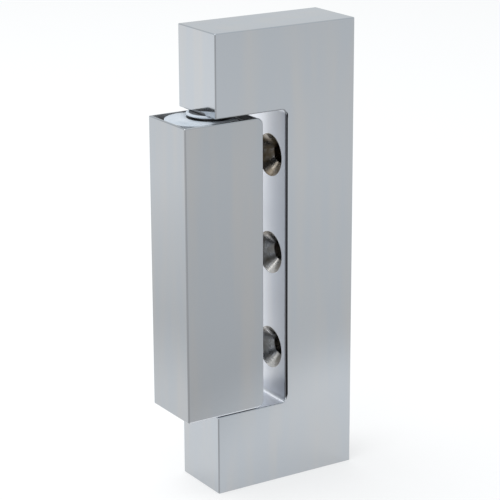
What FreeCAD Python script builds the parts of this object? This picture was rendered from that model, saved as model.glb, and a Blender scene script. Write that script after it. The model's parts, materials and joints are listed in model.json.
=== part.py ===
import FreeCAD, Part
import math
import os

# Body, the C-shaped casting. Lengths are in millimetres and angles in degrees.
BODY_HEIGHT = 130.175
BODY_WIDTH = 44.45
BODY_DEPTH = 19.05
ARM_HEIGHT = 22.86
NOTCH_WIDTH = 22.2
BODY_EDGE_R = 0.7
BODY_WALL = 3.2
ARM_CORE_X = 13.0
CORE_CORNER_R = 1.6

# Leaf, the hollow casting that swings in the notch
LEAF_OVERHANG = 9.5
LEAF_RIGHT_X = 15.0
LEAF_WALL = 1.6
LEAF_FOOT_GAP = 0.45
LEAF_HEAD_GAP = 1.3
LEAF_COLUMN = 6.4
LEAF_CORNER_R = 2.0
LEAF_EDGE_CHAMFER = 0.25
CAVITY_CORNER_R = 0.6

# Fixing screws through the body, and tapped holes in the back of the leaf
SCREW_COUNT = 3
SCREW_SPACING = 28.0
SCREW_HOLE_R = 2.75
SCREW_Y = 8.0
COUNTERSINK_R = 5.8
COUNTERSINK_ANGLE = 90.0
SCREW_BOSS = 12.0
TAPPED_HOLE_R = 2.1
TAPPED_HOLE_DEPTH = 11.0
TAPPED_MOUTH_CHAMFER = 0.4

# Hinge pin and what holds it
AXIS_X = 4.0
PIN_R = 2.38
PIN_BLIND_DEPTH = 14.0
PIN_CHAMFER = 0.6
PIN_FIT = 0.02
PLUG_R = 3.6
PLUG_HEIGHT = 3.0
PLUG_RECESS = 0.2
PLUG_CHAMFER = 0.4
PLUG_FIT = 0.02
SET_SCREW_R = 2.0
SET_SCREW_RECESS = 1.8
SET_SCREW_CONE = 0.8
SET_SCREW_KEY = 2.0
SET_SCREW_KEY_DEPTH = 2.4
SET_SCREW_FIT = 0.05

# Nylon bushings
BUSHING_HEIGHT = 12.0
BUSHING_SINK = 0.3
BUSHING_FIT = 0.04
BUSHING_NOSE_X = -6.4
COLLAR_R = 3.7
THRUST_GAP = 0.05
RUNNING_FIT = 0.05
BUSHING_EDGE_CHAMFER = 0.4

# Closing spring
WIRE = 1.4
SPRING_TURNS = 4
SPRING_STEP_ANGLE = 40.0
SPRING_PITCH = 1.8
SPRING_WALL_GAP = 0.1
SPRING_SEAT_GAP = 0.3
SPRING_BEND_R = 1.2
SPRING_LEG_PAST_PIN = 1.2
CROSS_SLOT_GAP = 0.15

# Places that follow from the sizes above
AXIS_Y = BODY_DEPTH / 2
NOTCH_LOW = ARM_HEIGHT
NOTCH_HIGH = BODY_HEIGHT - ARM_HEIGHT
MIDDLE_Z = BODY_HEIGHT / 2
LEAF_LEFT_X = -LEAF_OVERHANG
LEAF_LOW = NOTCH_LOW + LEAF_FOOT_GAP
LEAF_HIGH = NOTCH_HIGH - LEAF_HEAD_GAP
CAVITY_LEFT_X = LEAF_LEFT_X + LEAF_WALL
CAVITY_RIGHT_X = LEAF_RIGHT_X - LEAF_COLUMN
CAVITY_HALF_DEPTH = BODY_DEPTH / 2 - LEAF_WALL
TAPPED_HOLE_X = LEAF_RIGHT_X - LEAF_COLUMN / 2
COIL_R = CAVITY_RIGHT_X - AXIS_X - SPRING_WALL_GAP - WIRE / 2
PIN_LOW = PLUG_RECESS + PLUG_HEIGHT
PIN_HIGH = NOTCH_HIGH + PIN_BLIND_DEPTH
SPRING_LOW = LEAF_LOW + BUSHING_SINK + BUSHING_HEIGHT + SPRING_SEAT_GAP + WIRE / 2

AXIS_POINT = FreeCAD.Vector(AXIS_X, AXIS_Y, SPRING_LOW)

# The row's origin is under the middle of the whole hinge
ORIGIN = FreeCAD.Vector((LEAF_LEFT_X + BODY_WIDTH) / 2, BODY_DEPTH / 2, 0)

ALONG_X = FreeCAD.Vector(1, 0, 0)
ALONG_Y = FreeCAD.Vector(0, 1, 0)
ALONG_Z = FreeCAD.Vector(0, 0, 1)


def block(x, y, z):
    """Rectangular block between three (low, high) pairs."""
    size = (x[1] - x[0], y[1] - y[0], z[1] - z[0])
    return Part.makeBox(*size, FreeCAD.Vector(x[0], y[0], z[0]))


def rod(start, direction, radius, length):
    """Round rod from a start point along a direction."""
    return Part.makeCylinder(radius, length, FreeCAD.Vector(*start), direction)


def cone(start, direction, radius_start, radius_end, length):
    """Cone or frustum from a start point along a direction."""
    return Part.makeCone(radius_start, radius_end, length, FreeCAD.Vector(*start), direction)


def edges_along(shape, direction):
    """Straight edges of a shape that run along a direction."""
    found = []
    for edge in shape.Edges:
        way = edge.valueAt(edge.LastParameter) - edge.valueAt(edge.FirstParameter)
        if way.Length > 0 and way.normalize().cross(direction).Length < 1e-6:
            found.append(edge)
    return found


def rounded_block(x, y, z, direction, radius):
    """Block with the four edges along one direction rounded."""
    plain = block(x, y, z)
    return plain.makeFillet(radius, edges_along(plain, direction))


def screw_heights():
    """Heights of the screw line, centred on the hinge."""
    first = MIDDLE_Z - SCREW_SPACING * (SCREW_COUNT - 1) / 2
    return [first + SCREW_SPACING * number for number in range(SCREW_COUNT)]


def notched_outline():
    """Front face of the C shape, in the plane of the front."""
    corners = [
        (0, 0), (BODY_WIDTH, 0), (BODY_WIDTH, BODY_HEIGHT), (0, BODY_HEIGHT),
        (0, NOTCH_HIGH), (NOTCH_WIDTH, NOTCH_HIGH), (NOTCH_WIDTH, NOTCH_LOW), (0, NOTCH_LOW),
    ]
    points = [FreeCAD.Vector(x, 0, z) for x, z in corners]
    return Part.Face(Part.makePolygon(points + points[:1]))


def stays_sharp(edge):
    """True for the notch's two inside corners and for the rim of the mounting side."""
    box = edge.BoundBox
    along_y = box.YLength > BODY_DEPTH / 2
    inside_corner = along_y and abs(box.XMin - NOTCH_WIDTH) < 1e-6
    on_rim = abs(box.XMin - BODY_WIDTH) < 1e-6
    return inside_corner or on_rim


def casting_blank():
    """C-shaped block, its edges softened except against the door."""
    plain = notched_outline().extrude(ALONG_Y * BODY_DEPTH)
    outside = [edge for edge in plain.Edges if not stays_sharp(edge)]
    return plain.makeFillet(BODY_EDGE_R, outside)


def body_cores():
    """Pockets cast into the mounting side between the screw bosses."""
    heights = screw_heights()
    bosses = [(height - SCREW_BOSS / 2, height + SCREW_BOSS / 2) for height in heights]
    lows = [BODY_WALL] + [high for low, high in bosses]
    highs = [low for low, high in bosses] + [BODY_HEIGHT - BODY_WALL]
    y = (BODY_WALL, BODY_DEPTH - BODY_WALL)
    side = BODY_WIDTH + BODY_WALL
    pockets = []
    for low, high in zip(lows, highs):
        x = (NOTCH_WIDTH + BODY_WALL, side)
        pockets.append(rounded_block(x, y, (low, high), ALONG_X, CORE_CORNER_R))
    for low, high in ((0, NOTCH_LOW), (NOTCH_HIGH, BODY_HEIGHT)):
        z = (low + BODY_WALL, high - BODY_WALL)
        pockets.append(rounded_block((ARM_CORE_X, side), y, z, ALONG_X, CORE_CORNER_R))
    return pockets


def countersunk_hole(height):
    """Screw hole from the notch wall through to the mounting side."""
    start = (NOTCH_WIDTH, SCREW_Y, height)
    sink_depth = (COUNTERSINK_R - SCREW_HOLE_R) / math.tan(math.radians(COUNTERSINK_ANGLE / 2))
    hole = rod(start, ALONG_X, SCREW_HOLE_R, BODY_WIDTH - NOTCH_WIDTH)
    sink = cone(start, ALONG_X, COUNTERSINK_R, SCREW_HOLE_R, sink_depth)
    return hole.fuse(sink)


def pin_bore():
    """Bore for the pin, open below and blind in the upper arm, with the plug's seat."""
    bore = rod((AXIS_X, AXIS_Y, 0), ALONG_Z, PIN_R + PIN_FIT, PIN_HIGH)
    seat = rod((AXIS_X, AXIS_Y, 0), ALONG_Z, PLUG_R + PLUG_FIT, PIN_LOW)
    return bore.fuse(seat)


def set_screw_hole():
    """Tapped hole from the back of the lower arm to the pin."""
    start = (AXIS_X, AXIS_Y, ARM_HEIGHT / 2)
    return rod(start, ALONG_Y, SET_SCREW_R + SET_SCREW_FIT, BODY_DEPTH - AXIS_Y)


def make_body():
    """C-shaped casting with its cores, screw holes and pin bore."""
    holes = [countersunk_hole(height) for height in screw_heights()]
    return casting_blank().cut(body_cores() + holes + [pin_bore(), set_screw_hole()])


def leaf_blank():
    """Leaf block, its right-hand corners rounded as seen from the front."""
    plain = block((LEAF_LEFT_X, LEAF_RIGHT_X), (0, BODY_DEPTH), (LEAF_LOW, LEAF_HIGH))
    across = edges_along(plain, ALONG_Y)
    right = [edge for edge in across if edge.BoundBox.XMin > AXIS_X]
    shaped = plain.makeFillet(LEAF_CORNER_R, right)
    return shaped.makeChamfer(LEAF_EDGE_CHAMFER, shaped.Edges)


def tapped_hole(height):
    """Blind hole in the back of the leaf, with a lead-in at its mouth."""
    start = (TAPPED_HOLE_X, BODY_DEPTH, height)
    mouth_r = TAPPED_HOLE_R + TAPPED_MOUTH_CHAMFER
    hole = rod(start, -ALONG_Y, TAPPED_HOLE_R, TAPPED_HOLE_DEPTH)
    mouth = cone(start, -ALONG_Y, mouth_r, TAPPED_HOLE_R, TAPPED_MOUTH_CHAMFER)
    return hole.fuse(mouth)


def make_leaf():
    """Hollow leaf, open at both ends, with a solid column on its right."""
    cavity = rounded_block(
        (CAVITY_LEFT_X, CAVITY_RIGHT_X),
        (LEAF_WALL, BODY_DEPTH - LEAF_WALL),
        (LEAF_LOW - LEAF_WALL, LEAF_HIGH + LEAF_WALL),
        ALONG_Z,
        CAVITY_CORNER_R,
    )
    return leaf_blank().cut([cavity] + [tapped_hole(height) for height in screw_heights()])


def bushing_outline(z):
    """Round-nosed outline that keys into the leaf's cavity, at a height."""
    half = CAVITY_HALF_DEPTH - BUSHING_FIT
    right = CAVITY_RIGHT_X - BUSHING_FIT
    centre = BUSHING_NOSE_X + half
    front, back = AXIS_Y - half, AXIS_Y + half
    nose = Part.Arc(
        FreeCAD.Vector(centre, back, z),
        FreeCAD.Vector(BUSHING_NOSE_X, AXIS_Y, z),
        FreeCAD.Vector(centre, front, z),
    )
    points = [(centre, front), (right, front), (right, back), (centre, back)]
    points = [FreeCAD.Vector(x, y, z) for x, y in points]
    sides = [Part.LineSegment(a, b).toShape() for a, b in zip(points, points[1:])]
    return Part.Face(Part.Wire([nose.toShape()] + sides))


def make_bushing(low, collar_end):
    """Nylon bushing with a thrust collar that reaches towards its arm."""
    high = low + BUSHING_HEIGHT
    block_part = bushing_outline(low).extrude(ALONG_Z * BUSHING_HEIGHT)
    corners = [edge for edge in edges_along(block_part, ALONG_Z) if edge.BoundBox.XMin > AXIS_X]
    block_part = block_part.makeFillet(CAVITY_CORNER_R, corners)
    rims = [edge for edge in block_part.Edges if edge.BoundBox.ZLength < 1e-6]
    block_part = block_part.makeChamfer(BUSHING_EDGE_CHAMFER, rims)
    collar_low, collar_high = min(low, collar_end), max(high, collar_end)
    collar = rod((AXIS_X, AXIS_Y, collar_low), ALONG_Z, COLLAR_R, collar_high - collar_low)
    bore = rod((AXIS_X, AXIS_Y, collar_low), ALONG_Z, PIN_R + RUNNING_FIT, collar_high - collar_low)
    return block_part.fuse(collar).removeSplitter().cut(bore)


def make_upper_bushing():
    """Bushing in the top of the leaf, bearing on the upper arm."""
    return make_bushing(LEAF_HIGH - BUSHING_SINK - BUSHING_HEIGHT, NOTCH_HIGH - THRUST_GAP)


def make_lower_bushing():
    """Bushing in the foot of the leaf, bearing on the lower arm."""
    return make_bushing(LEAF_LOW + BUSHING_SINK, NOTCH_LOW + THRUST_GAP)


def make_hinge_pin():
    """Steel pin with chamfered ends and a cross slot for the spring."""
    straight = PIN_HIGH - PIN_LOW - 2 * PIN_CHAMFER
    tip_r = PIN_R - PIN_CHAMFER
    shank = rod((AXIS_X, AXIS_Y, PIN_LOW + PIN_CHAMFER), ALONG_Z, PIN_R, straight)
    foot = cone((AXIS_X, AXIS_Y, PIN_LOW), ALONG_Z, tip_r, PIN_R, PIN_CHAMFER)
    head = cone((AXIS_X, AXIS_Y, PIN_HIGH - PIN_CHAMFER), ALONG_Z, PIN_R, tip_r, PIN_CHAMFER)
    half = WIRE / 2 + CROSS_SLOT_GAP
    slot = block(
        (AXIS_X - half, AXIS_X + half),
        (AXIS_Y - 2 * PIN_R, AXIS_Y + 2 * PIN_R),
        (SPRING_LOW - half, SPRING_LOW + half),
    )
    return shank.fuse([foot, head]).removeSplitter().cut(slot)


def hexagon_prism(start, across_flats, length):
    """Six-sided prism along Y, for a key socket."""
    corner_r = across_flats / math.sqrt(3)
    angles = [math.radians(60 * number) for number in range(6)]
    points = [
        FreeCAD.Vector(start[0] + corner_r * math.cos(a), start[1], start[2] + corner_r * math.sin(a))
        for a in angles
    ]
    return Part.Face(Part.makePolygon(points + points[:1])).extrude(ALONG_Y * length)


def make_set_screw():
    """Headless screw in the lower arm that holds the pin."""
    tip_y = AXIS_Y + PIN_R + PIN_FIT
    height = ARM_HEIGHT / 2
    length = BODY_DEPTH - SET_SCREW_RECESS - tip_y
    straight = length - SET_SCREW_CONE
    tip = cone((AXIS_X, tip_y, height), ALONG_Y, SET_SCREW_R - SET_SCREW_CONE, SET_SCREW_R, SET_SCREW_CONE)
    shank = rod((AXIS_X, tip_y + SET_SCREW_CONE, height), ALONG_Y, SET_SCREW_R, straight)
    key_y = tip_y + length - SET_SCREW_KEY_DEPTH
    key = hexagon_prism((AXIS_X, key_y, height), SET_SCREW_KEY, SET_SCREW_KEY_DEPTH)
    return tip.fuse(shank).removeSplitter().cut(key)


def make_pin_plug():
    """Chromed plug that closes the pin's bore under the lower arm."""
    straight = PLUG_HEIGHT - PLUG_CHAMFER
    lip = cone((AXIS_X, AXIS_Y, PLUG_RECESS), ALONG_Z, PLUG_R - PLUG_CHAMFER, PLUG_R, PLUG_CHAMFER)
    disc = rod((AXIS_X, AXIS_Y, PLUG_RECESS + PLUG_CHAMFER), ALONG_Z, PLUG_R, straight)
    return lip.fuse(disc).removeSplitter()


def wire_section(centre, outward, way):
    """Square section of the spring wire, across the way that it runs."""
    across = outward * (WIRE / 2)
    along = way.cross(outward).normalize() * (WIRE / 2)
    corners = [centre + across + along, centre + across - along, centre - across - along, centre - across + along]
    return Part.Face(Part.makePolygon(corners + corners[:1]))


def spring_turns(section):
    """Flat-wound turns: each lies level and steps up to the next, from a section of the wire."""
    level = 360 - SPRING_STEP_ANGLE
    rise = ALONG_Z * SPRING_PITCH
    pieces = []
    for number in range(SPRING_TURNS):
        bottom = section.translated(rise * number)
        pieces.append(bottom.revolve(AXIS_POINT, ALONG_Z, level))
        step_low = bottom.rotated(AXIS_POINT, ALONG_Z, level)
        step_high = bottom.translated(rise)
        pieces.append(Part.makeLoft([step_low.OuterWire, step_high.OuterWire], True, True))
    return pieces


def make_closing_spring():
    """Torsion spring: its inner leg crosses the pin, and its tail bears on the leaf's column."""
    bend_turn = math.degrees(math.acos(-SPRING_BEND_R / (COIL_R - SPRING_BEND_R)))
    start_turn = math.radians(bend_turn - 180)
    outward = FreeCAD.Vector(math.cos(start_turn), math.sin(start_turn), 0)
    way = ALONG_Z.cross(outward)
    section = wire_section(AXIS_POINT + outward * COIL_R, outward, way)
    bend_centre = AXIS_POINT + outward * (COIL_R - SPRING_BEND_R)
    bend = section.revolve(bend_centre, -ALONG_Z, bend_turn)
    leg_length = COIL_R + PIN_R + SPRING_LEG_PAST_PIN - SPRING_BEND_R
    leg = section.rotated(bend_centre, -ALONG_Z, bend_turn).extrude(ALONG_Y * leg_length)
    top = section.translated(ALONG_Z * SPRING_PITCH * SPRING_TURNS)
    to_column = 180 - bend_turn
    last_arc = top.revolve(AXIS_POINT, ALONG_Z, to_column)
    tail = top.rotated(AXIS_POINT, ALONG_Z, to_column).extrude(ALONG_Y * (CAVITY_HALF_DEPTH - SPRING_SEAT_GAP))
    return bend.fuse([leg] + spring_turns(section) + [last_arc, tail]).removeSplitter()


PARTS = {
    "body": make_body,
    "leaf": make_leaf,
    "hinge_pin": make_hinge_pin,
    "upper_bushing": make_upper_bushing,
    "lower_bushing": make_lower_bushing,
    "closing_spring": make_closing_spring,
    "pin_set_screw": make_set_screw,
    "pin_plug": make_pin_plug,
}

os.makedirs("parts", exist_ok=True)
for name, make in PARTS.items():
    shape = make()
    shape.translate(-ORIGIN)
    shape.exportStep(f"parts/{name}.step")
    print(name, "solids", len(shape.Solids), "valid", shape.isValid(), "volume", round(shape.Volume, 2))
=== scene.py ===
"""Chrome edge-mount hinge: a notched casting, a hollow leaf that swings in it, and what they hold."""

import json
import logging
import math
from dataclasses import dataclass
from enum import Enum
from typing import Callable, Iterable, Sequence

import bmesh
import bpy
from mathutils import Matrix, Vector


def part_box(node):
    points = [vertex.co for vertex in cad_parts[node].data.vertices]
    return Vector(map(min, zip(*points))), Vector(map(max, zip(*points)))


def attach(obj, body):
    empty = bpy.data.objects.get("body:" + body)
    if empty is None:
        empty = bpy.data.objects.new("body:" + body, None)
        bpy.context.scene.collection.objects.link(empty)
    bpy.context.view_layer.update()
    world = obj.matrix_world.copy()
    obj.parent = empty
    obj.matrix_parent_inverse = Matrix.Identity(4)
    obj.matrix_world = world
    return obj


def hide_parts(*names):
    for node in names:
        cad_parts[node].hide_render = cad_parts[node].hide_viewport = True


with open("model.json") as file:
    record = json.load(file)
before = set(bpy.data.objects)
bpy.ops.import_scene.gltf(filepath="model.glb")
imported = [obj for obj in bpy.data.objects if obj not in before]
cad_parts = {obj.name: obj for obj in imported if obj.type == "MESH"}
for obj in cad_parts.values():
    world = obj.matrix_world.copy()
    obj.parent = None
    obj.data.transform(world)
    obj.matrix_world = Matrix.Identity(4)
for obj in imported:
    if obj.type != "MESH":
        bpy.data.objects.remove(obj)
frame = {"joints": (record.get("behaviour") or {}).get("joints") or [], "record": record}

LOG = logging.getLogger("hinge")
MM = 0.001
ALONG_X = Vector((1, 0, 0))
ALONG_Y = Vector((0, 1, 0))
ALONG_Z = Vector((0, 0, 1))
NEAR = 0.03 * MM
# Shares of a normal along an axis, from which a face lies flat across it or leans its way.
FLAT = 0.99
LEAN = 0.1


class Rider(Enum):
    """The two bodies that pieces ride on."""

    BODY = "body"
    LEAF = "leaf"


class Slot(Enum):
    """The record's material slots."""

    CHROME = "polished_chrome"
    STEEL = "pin_steel"
    NYLON = "white_nylon"
    SPRING = "spring_steel"


class Way(Enum):
    """Directions that a turned shape can point in, as the turn that takes +Z there."""

    UP = Matrix.Identity(3)
    RIGHT = Matrix.Rotation(math.radians(90), 3, "Y")
    BACK = Matrix.Rotation(math.radians(-90), 3, "X")
    FRONT = Matrix.Rotation(math.radians(90), 3, "X")


@dataclass(frozen=True)
class Places:
    """Corners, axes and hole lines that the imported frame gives, in metres."""

    body_low: Vector
    body_high: Vector
    leaf_low: Vector
    leaf_high: Vector
    pin_axis: Vector
    pin_high: float
    pin_r: float
    screw: Vector
    screw_r: float
    tapped: Vector
    tapped_r: float
    spacing: float
    hole_count: int

    @classmethod
    def from_frame(cls) -> "Places":
        """Reads the boxes of the nodes, the joint's axis and the record's mounts."""
        mounts = {mount["name"]: mount for mount in frame["record"]["mounts"]}
        screw = mounts["body_middle_screw"]
        tapped = mounts["leaf_middle_hole"]
        ends = mounts["body_end_screws"]["dims"]
        pin_low, pin_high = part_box("hinge_pin")
        return cls(
            *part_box("body"),
            *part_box("leaf"),
            pin_axis=Vector(frame["joints"][0]["pos_m"]),
            pin_high=pin_high.z,
            pin_r=(pin_high.x - pin_low.x) / 2,
            screw=Vector(screw["pos_m"]),
            screw_r=screw["dims"]["r_mm"] * MM,
            tapped=Vector(tapped["pos_m"]),
            tapped_r=tapped["dims"]["r_mm"] * MM,
            spacing=ends["spacing_y_mm"] * MM / ends["count"],
            hole_count=ends["count"] + 1,
        )

    def on_axis(self, height: float) -> Vector:
        """Point of the pin's axis at a height."""
        return Vector((self.pin_axis.x, self.pin_axis.y, height))

    def heights(self, middle: float) -> list[float]:
        """Heights of a line of holes, from the lowest up.

        Args:
            middle: the height of its middle hole.
        """
        half = (self.hole_count - 1) / 2
        return [middle + self.spacing * (number - half) for number in range(self.hole_count)]


def new_object(name: str, data: bpy.types.ID | None) -> bpy.types.Object:
    """Makes an object at the origin and links it to the scene."""
    piece = bpy.data.objects.new(name, data)
    bpy.context.scene.collection.objects.link(piece)
    return piece


class NodeGraph:
    """A node tree with short calls to add and join its nodes."""

    def __init__(self, tree: bpy.types.NodeTree) -> None:
        """Starts from an empty tree.

        Args:
            tree: the tree of a material, a world or a geometry group.
        """
        self.tree = tree
        self.tree.nodes.clear()

    def add(self, kind: str, inputs: dict | None = None, **settings: object) -> bpy.types.Node:
        """Adds one node.

        Args:
            kind: the node's type name.
            inputs: socket name or number to a constant, or to the output that feeds it.
            settings: the node's own properties.

        Returns:
            The new node.
        """
        node = self.tree.nodes.new(kind)
        for name, value in settings.items():
            setattr(node, name, value)
        for name, value in (inputs or {}).items():
            if isinstance(value, bpy.types.NodeSocket):
                self.tree.links.new(value, node.inputs[name])
            else:
                node.inputs[name].default_value = value
        return node

    def reckon(self, operation: str, *values: object) -> bpy.types.NodeSocket:
        """Joins numbers or outputs by a sum, a product or the like."""
        return self.add("ShaderNodeMath", dict(enumerate(values)), operation=operation).outputs[0]

    def link(self, source: bpy.types.NodeSocket, target: bpy.types.NodeSocket) -> None:
        """Joins an output to an input."""
        self.tree.links.new(source, target)


class SurfaceGraph(NodeGraph):
    """A material's tree: patterns on Object coordinates that feed one Principled shader."""

    def __init__(self, name: str) -> None:
        """Makes the material and its shader.

        Args:
            name: the material's name.
        """
        self.material = bpy.data.materials.new(name)
        self.material.use_nodes = True
        super().__init__(self.material.node_tree)
        self.shader = self.add("ShaderNodeBsdfPrincipled")
        output = self.add("ShaderNodeOutputMaterial")
        self.link(self.shader.outputs["BSDF"], output.inputs["Surface"])
        self.place = self.add("ShaderNodeTexCoord").outputs["Object"]

    def noise(
        self, size: float, stretch: Sequence[float] = (1, 1, 1), detail: float = 2
    ) -> bpy.types.NodeSocket:
        """A soft random pattern.

        Args:
            size: the usual size of a patch, in metres.
            stretch: how many times longer a patch is along X, Y and Z.
            detail: how many finer layers are added.

        Returns:
            The pattern's value, from 0 to 1.
        """
        scale = [1 / (size * share) for share in stretch]
        mapping = self.add("ShaderNodeMapping", {"Vector": self.place, "Scale": scale})
        pattern = self.add(
            "ShaderNodeTexNoise", {"Vector": mapping.outputs["Vector"], "Scale": 1.0, "Detail": detail}
        )
        return pattern.outputs["Fac"]

    def ramp(
        self, value: bpy.types.NodeSocket, stops: dict[float, Sequence[float]]
    ) -> bpy.types.NodeSocket:
        """Turns a value into a colour.

        Args:
            value: what the ramp reads.
            stops: place on the ramp to linear red, green and blue.

        Returns:
            The colour.
        """
        node = self.add("ShaderNodeValToRGB", {"Fac": value})
        elements = node.color_ramp.elements
        while len(elements) < len(stops):
            elements.new(0.5)
        for element, (place, colour) in zip(elements, sorted(stops.items())):
            element.position = place
            element.color = (*colour, 1)
        return node.outputs["Color"]

    def spread(
        self, value: bpy.types.NodeSocket, low: float, high: float, start: float = 0.3, end: float = 0.7,
        way: str = "LINEAR",
    ) -> bpy.types.NodeSocket:
        """Maps the busy middle of a pattern to a range.

        Args:
            value: the pattern.
            low: the result at start.
            high: the result at end.
            start: the pattern's value that gives low.
            end: the pattern's value that gives high.
            way: the node's name for the kind of slope.

        Returns:
            The mapped value.
        """
        inputs = {"Value": value, "From Min": start, "From Max": end, "To Min": low, "To Max": high}
        return self.add("ShaderNodeMapRange", inputs, interpolation_type=way).outputs["Result"]

    def bump(self, height: bpy.types.NodeSocket, depth: float, strength: float = 1.0) -> None:
        """Adds a relief to what the shader already has.

        Args:
            height: the pattern of the relief.
            depth: the height of the relief in metres.
            strength: its share, from 0 to 1.
        """
        node = self.add("ShaderNodeBump", {"Height": height, "Distance": depth, "Strength": strength})
        socket = self.shader.inputs["Normal"]
        if socket.is_linked:
            self.link(socket.links[0].from_socket, node.inputs["Normal"])
        self.link(node.outputs["Normal"], socket)

    def feed(self, **sockets: bpy.types.NodeSocket) -> None:
        """Feeds patterns to the shader, by its socket names with _ for a space."""
        for name, value in sockets.items():
            self.link(value, self.shader.inputs[name.replace("_", " ")])

    def settle(self, **values: object) -> None:
        """Sets constants on the shader's own sockets, by their names with _ for a space."""
        for name, value in values.items():
            self.shader.inputs[name.replace("_", " ")].default_value = value


@dataclass(frozen=True)
class PolishedChrome:
    """Bright plate over a cast surface that isn't quite flat."""

    name: str = "polished_chrome"
    cool: tuple[float, float, float] = (0.50, 0.53, 0.565)
    warm: tuple[float, float, float] = (0.54, 0.545, 0.55)
    patch: float = 22 * MM
    streak: float = 5.5 * MM
    streak_length: float = 9
    smooth: float = 0.05
    hazy: float = 0.11
    ripple: float = 14 * MM
    ripple_depth: float = 0.06 * MM

    def build(self) -> bpy.types.Material:
        """Makes the material."""
        graph = SurfaceGraph(self.name)
        streaks = graph.noise(self.streak, (1, 1, self.streak_length), 3)
        graph.feed(Base_Color=graph.ramp(streaks, {0.42: self.cool, 0.78: self.warm}))
        graph.feed(Roughness=graph.spread(graph.noise(self.patch), self.smooth, self.hazy))
        graph.settle(Metallic=1.0)
        graph.bump(graph.noise(self.ripple, (1, 1, 1.6), 1), self.ripple_depth)
        return graph.material


@dataclass(frozen=True)
class CastMetal:
    """Dull cast surface inside the pockets, with thin plate on it."""

    light: tuple[float, float, float] = (0.50, 0.50, 0.50)
    dark: tuple[float, float, float] = (0.30, 0.29, 0.28)
    patch: float = 5 * MM
    grain: float = 0.35 * MM
    grain_depth: float = 0.05 * MM
    roughness: tuple[float, float] = (0.38, 0.6)

    def build(self) -> bpy.types.Material:
        """Makes the material."""
        graph = SurfaceGraph("cast_pocket")
        patches = graph.noise(self.patch, detail=4)
        graph.feed(Base_Color=graph.ramp(patches, {0.3: self.dark, 0.7: self.light}))
        graph.feed(Roughness=graph.spread(patches, *self.roughness))
        graph.settle(Metallic=1.0)
        graph.bump(graph.noise(self.grain, detail=3), self.grain_depth)
        return graph.material


@dataclass(frozen=True)
class BareHole:
    """Machined screw holes where the plate is thin and the metal has gone brown, most so high up."""

    bright: tuple[float, float, float] = (0.52, 0.505, 0.485)
    brown: tuple[float, float, float] = (0.20, 0.155, 0.10)
    patch: float = 3.2 * MM
    brown_from: float = 60.0 * MM
    brown_to: float = 95.0 * MM
    shift: tuple[float, float] = (0.2, -0.1)
    roughness: tuple[float, float] = (0.16, 0.42)
    groove: float = 0.3 * MM
    groove_depth: float = 0.02 * MM

    def build(self) -> bpy.types.Material:
        """Makes the material."""
        graph = SurfaceGraph("bare_hole")
        patches = graph.noise(self.patch, detail=3)
        apart = graph.add("ShaderNodeSeparateXYZ", {"Vector": graph.place})
        lift = graph.spread(apart.outputs["Z"], *self.shift, self.brown_from, self.brown_to)
        wear = graph.reckon("ADD", patches, lift)
        graph.feed(Base_Color=graph.ramp(wear, {0.32: self.brown, 0.72: self.bright}))
        graph.feed(Roughness=graph.spread(patches, *reversed(self.roughness)))
        graph.settle(Metallic=1.0)
        turning = graph.noise(self.groove, (1, 30, 30), 1)
        graph.bump(turning, self.groove_depth)
        return graph.material


@dataclass(frozen=True)
class GroundSteel:
    """Ground steel with fine marks round the pin."""

    light: tuple[float, float, float] = (0.60, 0.61, 0.62)
    dark: tuple[float, float, float] = (0.48, 0.485, 0.49)
    mark: float = 0.12 * MM
    mark_depth: float = 0.006 * MM
    roughness: tuple[float, float] = (0.2, 0.38)

    def build(self) -> bpy.types.Material:
        """Makes the material."""
        graph = SurfaceGraph("ground_steel")
        marks = graph.noise(self.mark, (60, 60, 1), 2)
        graph.feed(Base_Color=graph.ramp(marks, {0.3: self.dark, 0.7: self.light}))
        graph.feed(Roughness=graph.spread(marks, *self.roughness))
        graph.settle(Metallic=1.0)
        graph.bump(marks, self.mark_depth)
        return graph.material


@dataclass(frozen=True)
class WhiteNylon:
    """Moulded nylon, white with a faint blue cast."""

    light: tuple[float, float, float] = (0.63, 0.675, 0.725)
    dark: tuple[float, float, float] = (0.54, 0.60, 0.665)
    patch: float = 4 * MM
    grain: float = 0.25 * MM
    grain_depth: float = 0.012 * MM
    roughness: tuple[float, float] = (0.38, 0.52)

    def build(self) -> bpy.types.Material:
        """Makes the material."""
        graph = SurfaceGraph("white_nylon")
        patches = graph.noise(self.patch, detail=2)
        graph.feed(Base_Color=graph.ramp(patches, {0.3: self.dark, 0.7: self.light}))
        graph.feed(Roughness=graph.spread(patches, *self.roughness))
        graph.bump(graph.noise(self.grain, detail=2), self.grain_depth)
        return graph.material


@dataclass(frozen=True)
class SpringWire:
    """Drawn wire, dark with a film of oil, and rubbed brighter in places."""

    light: tuple[float, float, float] = (0.42, 0.42, 0.43)
    dark: tuple[float, float, float] = (0.22, 0.215, 0.22)
    patch: float = 1.2 * MM
    roughness: tuple[float, float] = (0.25, 0.45)
    coat: float = 0.3

    def build(self) -> bpy.types.Material:
        """Makes the material."""
        graph = SurfaceGraph("spring_wire")
        patches = graph.noise(self.patch, (3, 3, 1), 3)
        graph.feed(Base_Color=graph.ramp(patches, {0.35: self.dark, 0.7: self.light}))
        graph.feed(Roughness=graph.spread(patches, *self.roughness))
        graph.settle(Metallic=1.0, Coat_Weight=self.coat)
        return graph.material


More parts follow.
